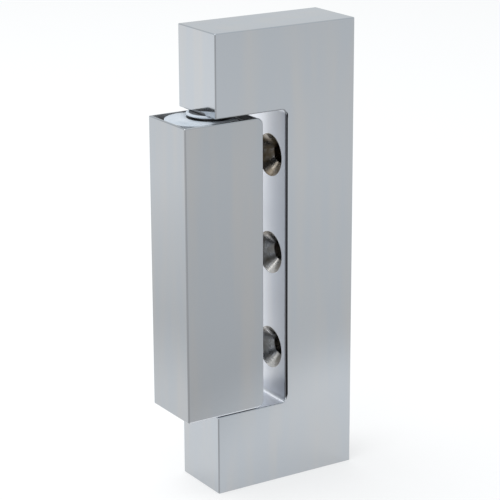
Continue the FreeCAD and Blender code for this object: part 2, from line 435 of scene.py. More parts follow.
@dataclass(frozen=True)
class Finishes:
    """Every material of the hinge, made once."""

    chrome: bpy.types.Material
    leaf_chrome: bpy.types.Material
    # Brighter copy of the chrome: painted light on the notch's wall and floor and on the leaf's foot.
    satin: bpy.types.Material
    # Dimmer copy of the chrome: painted shade on rounded front edges, which dims their reflection.
    edge: bpy.types.Material
    # Dark copy of the chrome: a painted dark reflection along the notch's upright front edge.
    dark_edge: bpy.types.Material
    # Darkest copy of the chrome: painted shade in the gaps under the upper arm, on the notch's roof, the
    # leaf's top and the upper bushing.
    dull: bpy.types.Material
    cast: bpy.types.Material
    bare: bpy.types.Material
    steel: bpy.types.Material
    nylon: bpy.types.Material
    wire: bpy.types.Material

    @classmethod
    def build(cls) -> "Finishes":
        """Makes the materials."""
        return cls(
            chrome=PolishedChrome().build(),
            leaf_chrome=PolishedChrome("leaf_chrome", (0.435, 0.46, 0.488), (0.47, 0.472, 0.475)).build(),
            # Painted light: chrome made brighter for the notch's wall and floor and the leaf's foot.
            satin=PolishedChrome(
                "notch_satin", (0.80, 0.825, 0.88), (0.84, 0.845, 0.87), smooth=0.3, hazy=0.42
            ).build(),
            # Painted shade: chrome made dimmer for rounded front edges.
            edge=PolishedChrome(
                "painted_dim_edge", (0.34, 0.355, 0.375), (0.38, 0.38, 0.385), smooth=0.15, hazy=0.28
            ).build(),
            # Painted shade: chrome made dark for faces in the narrow gaps under the upper arm.
            dull=PolishedChrome(
                "dull_plate", (0.12, 0.125, 0.135), (0.17, 0.17, 0.17), smooth=0.35, hazy=0.5
            ).build(),
            # Painted dark reflection: chrome made dark for the notch's upright front edge.
            dark_edge=PolishedChrome(
                "dark_edge", (0.14, 0.145, 0.16), (0.18, 0.175, 0.175), smooth=0.25, hazy=0.4
            ).build(),
            cast=CastMetal().build(),
            bare=BareHole().build(),
            steel=GroundSteel().build(),
            nylon=WhiteNylon().build(),
            wire=SpringWire().build(),
        )


class GeometryTree(NodeGraph):
    """A geometry node group whose sizes are named inputs."""

    def __init__(self, name: str, takes_mesh: bool) -> None:
        """Makes the group with its geometry sockets and its Material input.

        Args:
            name: the group's name.
            takes_mesh: whether the tree reads the geometry of its object.
        """
        super().__init__(bpy.data.node_groups.new(name, "GeometryNodeTree"))
        self.sockets: dict[str, str] = {}
        if takes_mesh:
            self.tree.interface.new_socket("Geometry", in_out="INPUT", socket_type="NodeSocketGeometry")
        self.tree.interface.new_socket("Geometry", in_out="OUTPUT", socket_type="NodeSocketGeometry")
        self.start = self.add("NodeGroupInput")
        self.material = self.take("Material", "NodeSocketMaterial")

    def take(self, name: str, kind: str) -> bpy.types.NodeSocket:
        """Adds a named input.

        Args:
            name: the input's name.
            kind: its socket type.

        Returns:
            The output of the group's start node that carries it.
        """
        socket = self.tree.interface.new_socket(name, in_out="INPUT", socket_type=kind)
        self.sockets[name] = socket.identifier
        return self.start.outputs[name]

    def end(self, geometry: bpy.types.NodeSocket) -> None:
        """Realizes what repeats, dresses it and ends the tree."""
        real = self.add("GeometryNodeRealizeInstances", {"Geometry": geometry})
        dressed = self.add(
            "GeometryNodeSetMaterial", {"Geometry": real.outputs["Geometry"], "Material": self.material}
        )
        self.add("NodeGroupOutput", {0: dressed.outputs["Geometry"]})

    def sweep(self, path: bpy.types.NodeSocket, section: bpy.types.NodeSocket) -> None:
        """Draws a section along a path, kept level, and ends the tree."""
        level = self.add("GeometryNodeSetCurveNormal", {"Curve": path}, mode="Z_UP")
        swept = self.add(
            "GeometryNodeCurveToMesh",
            {"Curve": level.outputs["Curve"], "Profile Curve": section, "Fill Caps": True},
        )
        self.end(swept.outputs["Mesh"])

    def run(self, piece: bpy.types.Object, values: dict[str, object]) -> bpy.types.Object:
        """Runs the tree on an object and keeps the result as its plain mesh.

        Args:
            piece: the object, whose own geometry is read where the tree takes it.
            values: input name to value.

        Returns:
            The object with its new mesh.
        """
        modifier = piece.modifiers.new("tree", "NODES")
        modifier.node_group = self.tree
        for name, value in values.items():
            modifier[self.sockets[name]] = value
        return Shaper.settle(piece)


class Trees:
    """The geometry trees that the hinge's pieces share."""

    TURN_STEPS = 28
    RIDGE_SIDES = 4
    CORNER_STEPS = 3

    def __init__(self) -> None:
        """Makes the three trees."""
        self.row = self.make_row()
        self.thread = self.make_thread()
        self.wire = self.make_wire()

    def repeat(
        self, piece: bpy.types.Object, places: Places, middle: float, material: bpy.types.Material
    ) -> bpy.types.Object:
        """Repeats a hole's shape up its line.

        Args:
            piece: the shape, at height nought.
            places: what gives the count and the spacing.
            middle: the height of the line's middle hole.
            material: the shape's finish.

        Returns:
            The row as one object.
        """
        values = {
            "Count": places.hole_count, "Spacing": places.spacing, "First": places.heights(middle)[0],
            "Material": material,
        }
        return self.row.run(piece, values)

    @staticmethod
    def make_row() -> GeometryTree:
        """Repeats a shape along Z: the screw holes, the tapped holes and their threads."""
        tree = GeometryTree("row_along_height", True)
        count = tree.take("Count", "NodeSocketInt")
        spacing = tree.take("Spacing", "NodeSocketFloat")
        first = tree.take("First", "NodeSocketFloat")
        step = tree.add("ShaderNodeCombineXYZ", {"Z": spacing})
        start = tree.add("ShaderNodeCombineXYZ", {"Z": first})
        line = tree.add(
            "GeometryNodeMeshLine",
            {"Count": count, "Start Location": start.outputs[0], "Offset": step.outputs[0]},
        )
        copies = tree.add(
            "GeometryNodeInstanceOnPoints",
            {"Points": line.outputs["Mesh"], "Instance": tree.start.outputs["Geometry"]},
        )
        tree.end(copies.outputs["Instances"])
        return tree

    @staticmethod
    def make_thread() -> GeometryTree:
        """Winds a ridge of diamond section along a helix, for inside and outside threads."""
        tree = GeometryTree("screw_thread", False)
        turns = tree.take("Turns", "NodeSocketFloat")
        radius = tree.take("Radius", "NodeSocketFloat")
        length = tree.take("Length", "NodeSocketFloat")
        ridge = tree.take("Ridge", "NodeSocketFloat")
        helix = tree.add(
            "GeometryNodeCurveSpiral",
            {
                "Resolution": Trees.TURN_STEPS, "Rotations": turns, "Start Radius": radius,
                "End Radius": radius, "Height": length,
            },
        )
        section = tree.add(
            "GeometryNodeCurvePrimitiveCircle", {"Resolution": Trees.RIDGE_SIDES, "Radius": ridge}
        )
        tree.sweep(helix.outputs["Curve"], section.outputs["Curve"])
        return tree

    @staticmethod
    def make_wire() -> GeometryTree:
        """Draws a square wire with soft corners along a path that stays level."""
        tree = GeometryTree("square_wire", True)
        width = tree.take("Width", "NodeSocketFloat")
        corner = tree.take("Corner", "NodeSocketFloat")
        square = tree.add("GeometryNodeCurvePrimitiveQuadrilateral", {"Width": width, "Height": width})
        soft = tree.add(
            "GeometryNodeFilletCurve",
            {"Curve": square.outputs["Curve"], "Radius": corner, "Count": Trees.CORNER_STEPS},
            mode="POLY",
        )
        tree.sweep(tree.start.outputs["Geometry"], soft.outputs["Curve"])
        return tree


class Shaper:
    """Makes plain meshes, cuts and joins them, and rounds their edges."""

    ROUND_SIDES = 72
    SHARP_ANGLE = math.radians(38)
    CORNER_ANGLE = math.radians(60)
    STRAIGHT = 0.999

    @staticmethod
    def hold(name: str, form: bmesh.types.BMesh, material: bpy.types.Material) -> bpy.types.Object:
        """Puts a form into a new object at the origin.

        Args:
            name: the object's name.
            form: the form, which is freed.
            material: its finish.

        Returns:
            The object.
        """
        mesh = bpy.data.meshes.new(name)
        bmesh.ops.recalc_face_normals(form, faces=form.faces)
        form.to_mesh(mesh)
        form.free()
        mesh.materials.append(material)
        return new_object(name, mesh)

    @staticmethod
    def settle(piece: bpy.types.Object) -> bpy.types.Object:
        """Keeps the evaluated shape as the object's plain mesh, with no modifier left."""
        evaluated = piece.evaluated_get(bpy.context.evaluated_depsgraph_get())
        mesh = bpy.data.meshes.new_from_object(evaluated)
        mesh.name = piece.name
        if piece.type == "MESH":
            piece.modifiers.clear()
            piece.data = mesh
            return piece
        name = piece.name
        bpy.data.objects.remove(piece)
        return new_object(name, mesh)

    @staticmethod
    def block(low: Vector, high: Vector) -> bmesh.types.BMesh:
        """Rectangular block between two corners."""
        form = bmesh.new()
        size = Matrix.Diagonal((*(high - low), 1))
        bmesh.ops.create_cube(form, size=1, matrix=Matrix.Translation((low + high) / 2) @ size)
        return form

    @staticmethod
    def prism(outline: Sequence[Vector], along: Vector) -> bmesh.types.BMesh:
        """Flat outline drawn out along a vector."""
        form = bmesh.new()
        face = form.faces.new([form.verts.new(point) for point in outline])
        grown = bmesh.ops.extrude_face_region(form, geom=[face])
        moved = [item for item in grown["geom"] if isinstance(item, bmesh.types.BMVert)]
        bmesh.ops.translate(form, verts=moved, vec=along)
        bmesh.ops.recalc_face_normals(form, faces=form.faces)
        return form

    @classmethod
    def turned(
        cls, outline: Sequence[tuple[float, float]], start: Vector, way: Way, sides: int | None = None
    ) -> bmesh.types.BMesh:
        """Turned shape, closed at both ends.

        Args:
            outline: pairs of distance along the axis and radius, from one end to the other.
            start: the point of the axis where the distance is nought.
            way: where the axis points.
            sides: how many sides stand for the round.

        Returns:
            The form.
        """
        sides = sides or cls.ROUND_SIDES
        form = bmesh.new()
        rings = []
        for along, radius in outline:
            ring = []
            for number in range(sides):
                turn = 2 * math.pi * number / sides
                point = Vector((radius * math.cos(turn), radius * math.sin(turn), along))
                ring.append(form.verts.new(start + way.value @ point))
            rings.append(ring)
        for low, high in zip(rings, rings[1:]):
            for number in range(sides):
                after = (number + 1) % sides
                form.faces.new((low[number], low[after], high[after], high[number]))
        form.faces.new(rings[0])
        form.faces.new(rings[-1])
        bmesh.ops.recalc_face_normals(form, faces=form.faces)
        return form

    @staticmethod
    def soften(
        form: bmesh.types.BMesh, chosen: Callable[[bmesh.types.BMEdge], bool], radius: float, steps: int
    ) -> None:
        """Rounds the edges that a test picks.

        Args:
            form: the form to change.
            chosen: says whether an edge is rounded.
            radius: the rounding.
            steps: how many faces stand for it.
        """
        edges = [edge for edge in form.edges if chosen(edge)]
        bmesh.ops.bevel(
            form, geom=edges, offset=radius, segments=steps, profile=0.5, affect="EDGES", clamp_overlap=True
        )

    @classmethod
    def runs_along(cls, edge: bmesh.types.BMEdge, direction: Vector) -> bool:
        """True where an edge runs along a direction."""
        way = (edge.verts[1].co - edge.verts[0].co).normalized()
        return abs(way.dot(direction)) > cls.STRAIGHT

    @classmethod
    def is_corner(cls, edge: bmesh.types.BMEdge) -> bool:
        """True where two faces meet at a hard corner."""
        return len(edge.link_faces) == 2 and edge.calc_face_angle() > cls.CORNER_ANGLE

    @classmethod
    def round_off(
        cls, piece: bpy.types.Object, radius_of: Callable[[bmesh.types.BMEdge], float], steps: int
    ) -> None:
        """Rounds the hard corners of a piece, each by its own radius.

        Args:
            piece: the mesh to change.
            radius_of: gives an edge's radius, nought where it stays sharp.
            steps: how many faces stand for a rounding.
        """
        form = bmesh.new()
        form.from_mesh(piece.data)
        weight = form.edges.layers.float.new("bevel_weight_edge")
        radii = [radius_of(edge) if cls.is_corner(edge) else 0.0 for edge in form.edges]
        widest = max(radii)
        for edge, radius in zip(form.edges, radii):
            edge[weight] = radius / widest
        form.to_mesh(piece.data)
        form.free()
        modifier = piece.modifiers.new("rounding", "BEVEL")
        modifier.limit_method = "WEIGHT"
        modifier.width = widest
        modifier.segments = steps
        modifier.use_clamp_overlap = False
        cls.settle(piece)

    @staticmethod
    def dress(
        piece: bpy.types.Object, material: bpy.types.Material, chosen: Callable[[Vector, Vector], bool]
    ) -> None:
        """Gives a finish to some of a piece's faces.

        Args:
            piece: the mesh to change.
            material: the finish.
            chosen: says whether a face takes it, from its centre and its normal.
        """
        worn = piece.data.materials
        if material.name not in worn:
            worn.append(material)
        index = worn.find(material.name)
        for face in piece.data.polygons:
            if chosen(face.center, face.normal):
                face.material_index = index

    @staticmethod
    def faces_front_left(normal: Vector) -> bool:
        """True for the rounding of an upright edge between a front and a left face."""
        return -FLAT < normal.y < -LEAN and normal.x < -LEAN and abs(normal.z) < LEAN

    @classmethod
    def combine(cls, piece: bpy.types.Object, tool: bpy.types.Object, operation: str) -> None:
        """Cuts a tool out of a piece, joins it on or keeps what both share, and removes the tool.

        Args:
            piece: what is changed.
            tool: the other shape, whose finish goes with its faces.
            operation: DIFFERENCE, UNION or INTERSECT.
        """
        modifier = piece.modifiers.new(operation.lower(), "BOOLEAN")
        modifier.operation = operation
        modifier.solver = "EXACT"
        modifier.material_mode = "TRANSFER"
        modifier.object = tool
        cls.settle(piece)
        bpy.data.objects.remove(tool)

    @classmethod
    def cut(
        cls, piece: bpy.types.Object, forms: Iterable[bmesh.types.BMesh], material: bpy.types.Material
    ) -> None:
        """Cuts forms out of a piece, whose new faces take a finish."""
        for form in forms:
            cls.combine(piece, cls.hold("cutter", form, material), "DIFFERENCE")

    @classmethod
    def shade(cls, piece: bpy.types.Object, weighted: bool = True) -> None:
        """Shades round faces smoothly and keeps flat ones flat.

        Args:
            piece: the finished mesh.
            weighted: whether large faces keep their own direction at a rounding.
        """
        piece.data.shade_smooth()
        piece.data.set_sharp_from_angle(angle=cls.SHARP_ANGLE)
        if weighted:
            modifier = piece.modifiers.new("flat_faces", "WEIGHTED_NORMAL")
            modifier.keep_sharp = True
            cls.settle(piece)


class Piece:
    """What every sub-assembly does with a finished mesh."""

    rider: Rider
    slot: Slot

    def hand_over(self, piece: bpy.types.Object, *nodes: str) -> None:
        """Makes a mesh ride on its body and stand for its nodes.

        Args:
            piece: the finished mesh.
            nodes: the nodes that it stands for.
        """
        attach(piece, self.rider.value)
        if nodes:
            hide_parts(*nodes)
        LOG.info("%s: %d faces, rides on %s", piece.name, len(piece.data.polygons), self.rider.value)


@dataclass
class Casting(Piece):
    """The C-shaped body, cored from its mounting side."""

    places: Places
    finishes: Finishes
    trees: Trees
    arm_height: float = 22.86 * MM
    notch_width: float = 22.2 * MM
    edge_r: float = 0.32 * MM
    notch_edge_r: float = 0.65 * MM
    notch_corner_r: float = 1.2 * MM
    notch_corner_steps: int = 8
    edge_steps: int = 4
    wall: float = 3.2 * MM
    arm_core_x: float = 13.0 * MM
    core_r: float = 1.6 * MM
    core_steps: int = 4
    core_floor_r: float = 1.6 * MM / 3
    core_floor_steps: int = 2
    boss: float = 12.0 * MM
    countersink_r: float = 5.8 * MM
    countersink_lip: float = 0.18 * MM
    lip_steps: int = 3
    pin_fit: float = 0.02 * MM
    plug_r: float = 3.62 * MM
    plug_seat: float = 3.2 * MM
    set_screw_r: float = 2.05 * MM
    past: float = 1.0 * MM
    rider: Rider = Rider.BODY
    slot: Slot = Slot.CHROME

    def build(self) -> None:
        """Builds the body and hands it over."""
        piece = Shaper.hold("body_casting", self.blank(), self.finishes.chrome)
        Shaper.round_off(piece, self.edge_radius, self.edge_steps)
        self.dress_edges(piece)
        Shaper.cut(piece, self.cores(), self.finishes.cast)
        Shaper.combine(piece, self.screw_holes(), "DIFFERENCE")
        bores = [self.pin_bore(), self.plug_seat_form(), self.set_screw_hole()]
        Shaper.cut(piece, bores, self.finishes.bare)
        Shaper.shade(piece)
        self.hand_over(piece, "body")

    def notch(self) -> tuple[float, float, float]:
        """Where the notch's wall stands, and the heights of its floor and its roof."""
        low, high = self.places.body_low, self.places.body_high
        return low.x + self.notch_width, low.z + self.arm_height, high.z - self.arm_height

    def blank(self) -> bmesh.types.BMesh:
        """C-shaped block with a fillet in each of the notch's corners."""
        low, high = self.places.body_low, self.places.body_high
        notch_x, notch_low, notch_high = self.notch()
        radius = self.notch_corner_r
        corners = [(low.x, low.z), (high.x, low.z), (high.x, high.z), (low.x, high.z), (low.x, notch_high)]
        for centre_z, first in ((notch_high - radius, 90), (notch_low + radius, 0)):
            for step in range(self.notch_corner_steps + 1):
                turn = math.radians(first - 90 * step / self.notch_corner_steps)
                across = notch_x + radius * (math.cos(turn) - 1)
                corners.append((across, centre_z + radius * math.sin(turn)))
        corners.append((low.x, notch_low))
        outline = [Vector((x, low.y, z)) for x, z in corners]
        return Shaper.prism(outline, ALONG_Y * (high.y - low.y))

    def edge_radius(self, edge: bmesh.types.BMEdge) -> float:
        """Rounding of an edge: none against the door, and more on the notch's upright front edge."""
        low, high = self.places.body_low, self.places.body_high
        notch_x = self.notch()[0]
        ends = [vert.co for vert in edge.verts]
        if all(end.x > high.x - NEAR for end in ends):
            return 0.0
        if all(abs(end.x - notch_x) < NEAR and end.y < low.y + NEAR for end in ends):
            return self.notch_edge_r
        return self.edge_r

    def dress_edges(self, piece: bpy.types.Object) -> None:
        """Paints light and shade with copies of the chrome: brighter on the notch's wall and floor, dark on
        its roof and along its upright front edge, and dimmer on the arms' front edges.
        """
        left = self.places.body_low.x
        notch_x, notch_low, notch_high = self.notch()
        rules = (
            # Painted light: the notch's wall and floor take the brighter chrome.
            (
                self.finishes.satin,
                lambda centre, normal: abs(normal.y) < 1 - FLAT
                and normal.x < 1 - FLAT
                and notch_low - NEAR < centre.z < notch_high - NEAR
                and left + self.edge_r < centre.x < notch_x + NEAR,
            ),
            # Painted shade: the notch's roof, under the upper arm, takes the dark chrome.
            (
                self.finishes.dull,
                lambda centre, normal: normal.z < -FLAT and abs(centre.z - notch_high) < NEAR,
            ),
            # Painted shade: the front rounding under the notch's roof takes the dimmer chrome.
            (
                self.finishes.edge,
                lambda centre, normal: -FLAT < normal.y < -LEAN
                and normal.z < -LEAN
                and abs(centre.z - notch_high) < self.notch_edge_r,
            ),
            # Painted shade: the rounded upright front-left edges of the arms take the dimmer chrome.
            (
                self.finishes.edge,
                lambda centre, normal: Shaper.faces_front_left(normal)
                and centre.x < left + self.notch_edge_r,
            ),
            # Painted dark reflection: the rounding of the notch's upright front edge takes the dark chrome.
            (
                self.finishes.dark_edge,
                lambda centre, normal: Shaper.faces_front_left(normal)
                and abs(centre.x - notch_x) < self.notch_edge_r,
            ),
        )
        for finish, chosen in rules:
            Shaper.dress(piece, finish, chosen)

    def core(self, x: float, z_low: float, z_high: float) -> bmesh.types.BMesh:
        """One pocket, open on the mounting side, with rounded corners and floor.

        Args:
            x: where its floor is.
            z_low: its lower side.
            z_high: its upper side.
        """
        low, high = self.places.body_low, self.places.body_high
        form = Shaper.block(
            Vector((x, low.y + self.wall, z_low)), Vector((high.x + self.wall, high.y - self.wall, z_high))
        )
        Shaper.soften(form, lambda edge: Shaper.runs_along(edge, ALONG_X), self.core_r, self.core_steps)
        Shaper.soften(
            form,
            lambda edge: all(abs(vert.co.x - x) < NEAR for vert in edge.verts) and Shaper.is_corner(edge),
            self.core_floor_r,
            self.core_floor_steps,
        )
        return form

    def cores(self) -> list[bmesh.types.BMesh]:
        """Pockets between the screw bosses, and the ones that reach into the arms."""
        low, high = self.places.body_low, self.places.body_high
        notch_x, notch_low, notch_high = self.notch()
        half = self.boss / 2
        bosses = [(height - half, height + half) for height in self.places.heights(self.places.screw.z)]
        lows = [low.z + self.wall] + [top for _, top in bosses]
        highs = [bottom for bottom, _ in bosses] + [high.z - self.wall]
        pockets = [self.core(notch_x + self.wall, bottom, top) for bottom, top in zip(lows, highs)]
        arm_floor = low.x + self.arm_core_x
        arms = [(low.z, notch_low), (notch_high, high.z)]
        return pockets + [self.core(arm_floor, bottom + self.wall, top - self.wall) for bottom, top in arms]

    def screw_holes(self) -> bpy.types.Object:
        """The line of countersunk holes, each with a softened lip, as one cutter."""
        depth = self.countersink_r - self.places.screw_r
        lip = self.countersink_lip
        mouth_r = self.countersink_r + lip
        notch_x = self.notch()[0]
        outline = [(-self.past, mouth_r)]
        for step in range(self.lip_steps + 1):
            turn = math.radians(90 * step / self.lip_steps)
            outline.append((lip - lip * math.cos(turn), mouth_r - lip * math.sin(turn)))
        outline.append((lip + depth, self.places.screw_r))
        outline.append((self.places.body_high.x - notch_x + self.past, self.places.screw_r))
        form = Shaper.turned(outline, Vector((notch_x, self.places.screw.y, 0)), Way.RIGHT)
        cutter = Shaper.hold("screw_holes", form, self.finishes.bare)
        return self.trees.repeat(cutter, self.places, self.places.screw.z, self.finishes.bare)

    def pin_bore(self) -> bmesh.types.BMesh:
        """Bore for the pin, through the lower arm and blind in the upper one."""
        radius = self.places.pin_r + self.pin_fit
        outline = [(self.plug_seat / 2, radius), (self.places.pin_high, radius)]
        return Shaper.turned(outline, self.places.on_axis(0), Way.UP)

    def plug_seat_form(self) -> bmesh.types.BMesh:
        """Seat of the plug under the lower arm."""
        outline = [(-self.past, self.plug_r), (self.plug_seat, self.plug_r)]
        return Shaper.turned(outline, self.places.on_axis(0), Way.UP)

    def set_screw_hole(self) -> bmesh.types.BMesh:
        """Hole from the back of the lower arm to the pin."""
        start = self.places.on_axis(self.places.body_low.z + self.arm_height / 2)
        outline = [(0, self.set_screw_r), (self.places.body_high.y - start.y + self.past, self.set_screw_r)]
        return Shaper.turned(outline, start, Way.BACK)


@dataclass
class Leaf(Piece):
    """The hollow leaf, open at both ends, with tapped holes in its back.

    The length and width of a hole's tip are shares of its radius.
    """

    places: Places
    finishes: Finishes
    trees: Trees
    wall: float = 1.6 * MM
    column: float = 6.4 * MM
    corner_r: float = 2.0 * MM
    corner_steps: int = 8
    edge_r: float = 0.3 * MM
    front_edge_r: float = 0.42 * MM
    lip: float = 0.6 * MM
    mouth_depth: float = 2.2 * MM
    recess: float = 0.06 * MM
    foot_drop: float = 0.25 * MM
    edge_steps: int = 4
    cavity_r: float = 0.6 * MM
    cavity_steps: int = 3
    hole_depth: float = 11.0 * MM
    hole_mouth: float = 0.4 * MM
    hole_sides: int = 48
    tip_length: float = 0.55
    tip_width: float = 0.02
    thread_inset: float = 0.6 * MM
    thread_pitch: float = 0.8 * MM
    thread_ridge: float = 0.28 * MM
    past: float = 1.0 * MM
    rider: Rider = Rider.LEAF
    slot: Slot = Slot.CHROME

    def build(self) -> None:
        """Builds the leaf and the threads in its holes, and hands them over."""
        low, high = self.places.leaf_low, self.places.leaf_high
        piece = Shaper.hold("leaf_casting", self.blank(), self.finishes.leaf_chrome)
        column_x = high.x - self.column
        cavity = self.hollow(self.wall, low.z - self.past, column_x)
        mouth = self.hollow(self.lip, high.z - self.mouth_depth, column_x + self.recess)
        Shaper.cut(piece, [cavity, mouth], self.finishes.cast)
        Shaper.round_off(piece, self.edge_radius, self.edge_steps)
        # Painted shade: the recess on top of the leaf's solid part takes the dark chrome.
        Shaper.cut(piece, [self.column_recess()], self.finishes.dull)
        # Painted shade: the leaf's rounded upright front-left edge takes the dimmer chrome.
        Shaper.dress(
            piece,
            self.finishes.edge,
            lambda centre, normal: Shaper.faces_front_left(normal)
            and centre.x < low.x + self.front_edge_r
            and centre.y < low.y + self.front_edge_r,
        )
        # Painted light: the leaf's foot takes the brighter chrome, so the gap under it looks lit.
        Shaper.dress(
            piece,
            self.finishes.satin,
            lambda centre, normal: normal.z < -LEAN
            and abs(normal.x) < LEAN
            and centre.z < low.z + self.front_edge_r,
        )
        Shaper.combine(piece, self.tapped_holes(), "DIFFERENCE")
        Shaper.shade(piece)
        self.hand_over(piece, "leaf")
        self.hand_over(self.threads())

    def blank(self) -> bmesh.types.BMesh:
        """Block with rounded right-hand corners, its foot close to the lower arm."""
        low, high = self.places.leaf_low - ALONG_Z * self.foot_drop, self.places.leaf_high
        form = Shaper.block(low, high)
        Shaper.soften(
            form,
            lambda edge: Shaper.runs_along(edge, ALONG_Y) and edge.verts[0].co.x > high.x - NEAR,
            self.corner_r,
            self.corner_steps,
        )
        return form

    def hollow(self, wall: float, bottom: float, right: float) -> bmesh.types.BMesh:
        """Upright hollow with soft corners, open at the top.

        Args:
            wall: what is left of the leaf in front, behind and on the left.
            bottom: the height of its floor.
            right: where its right side is.
        """
        low, high = self.places.leaf_low, self.places.leaf_high
        form = Shaper.block(
            Vector((low.x + wall, low.y + wall, bottom)), Vector((right, high.y - wall, high.z + self.past))
        )
        Shaper.soften(
            form, lambda edge: Shaper.runs_along(edge, ALONG_Z), self.cavity_r, self.cavity_steps
        )
        return form

    def column_recess(self) -> bmesh.types.BMesh:
        """Shallow face on top of the solid part, cut to take painted shade."""
        low, high = self.places.leaf_low, self.places.leaf_high
        return Shaper.block(
            Vector((high.x - self.column + self.lip, low.y + self.lip, high.z - self.recess)),
            Vector((high.x - self.corner_r, high.y - self.lip, high.z + self.past)),
        )

    def edge_radius(self, edge: bmesh.types.BMEdge) -> float:
        """Rounding of an edge: hardly any in the hollow, and more round the front face."""
        low, high = self.places.leaf_low, self.places.leaf_high
        ends = [vert.co for vert in edge.verts]
        if any(
            low.x + NEAR < end.x < high.x - self.corner_r - NEAR and low.y + NEAR < end.y < high.y - NEAR
            for end in ends
        ):
            return 0.0
        return self.front_edge_r if all(end.y < low.y + NEAR for end in ends) else self.edge_r

    def tapped_holes(self) -> bpy.types.Object:
        """The line of blind holes with their lead-ins, as one cutter."""
        radius = self.places.tapped_r
        outline = [
            (-self.past, radius + self.hole_mouth + self.past),
            (self.hole_mouth, radius),
            (self.hole_depth, radius),
            (self.hole_depth + radius * self.tip_length, radius * self.tip_width),
        ]
        start = Vector((self.places.tapped.x, self.places.leaf_high.y, 0))
        form = Shaper.turned(outline, start, Way.FRONT, self.hole_sides)
        cutter = Shaper.hold("tapped_holes", form, self.finishes.bare)
        return self.trees.repeat(cutter, self.places, self.places.tapped.z, self.finishes.bare)

    def threads(self) -> bpy.types.Object:
        """Ridges of the threads, half sunk in the walls of the holes."""
        length = self.hole_depth - 2 * self.thread_inset
        piece = Shaper.hold("leaf_threads", bmesh.new(), self.finishes.bare)
        values = {
            "Turns": length / self.thread_pitch, "Radius": self.places.tapped_r, "Length": length,
            "Ridge": self.thread_ridge, "Material": self.finishes.bare,
        }
        self.trees.thread.run(piece, values)
        start = Vector((self.places.tapped.x, self.places.leaf_high.y - self.thread_inset, 0))
        piece.data.transform(Matrix.Translation(start) @ Way.FRONT.value.to_4x4())
        return self.trees.repeat(piece, self.places, self.places.tapped.z, self.finishes.bare)


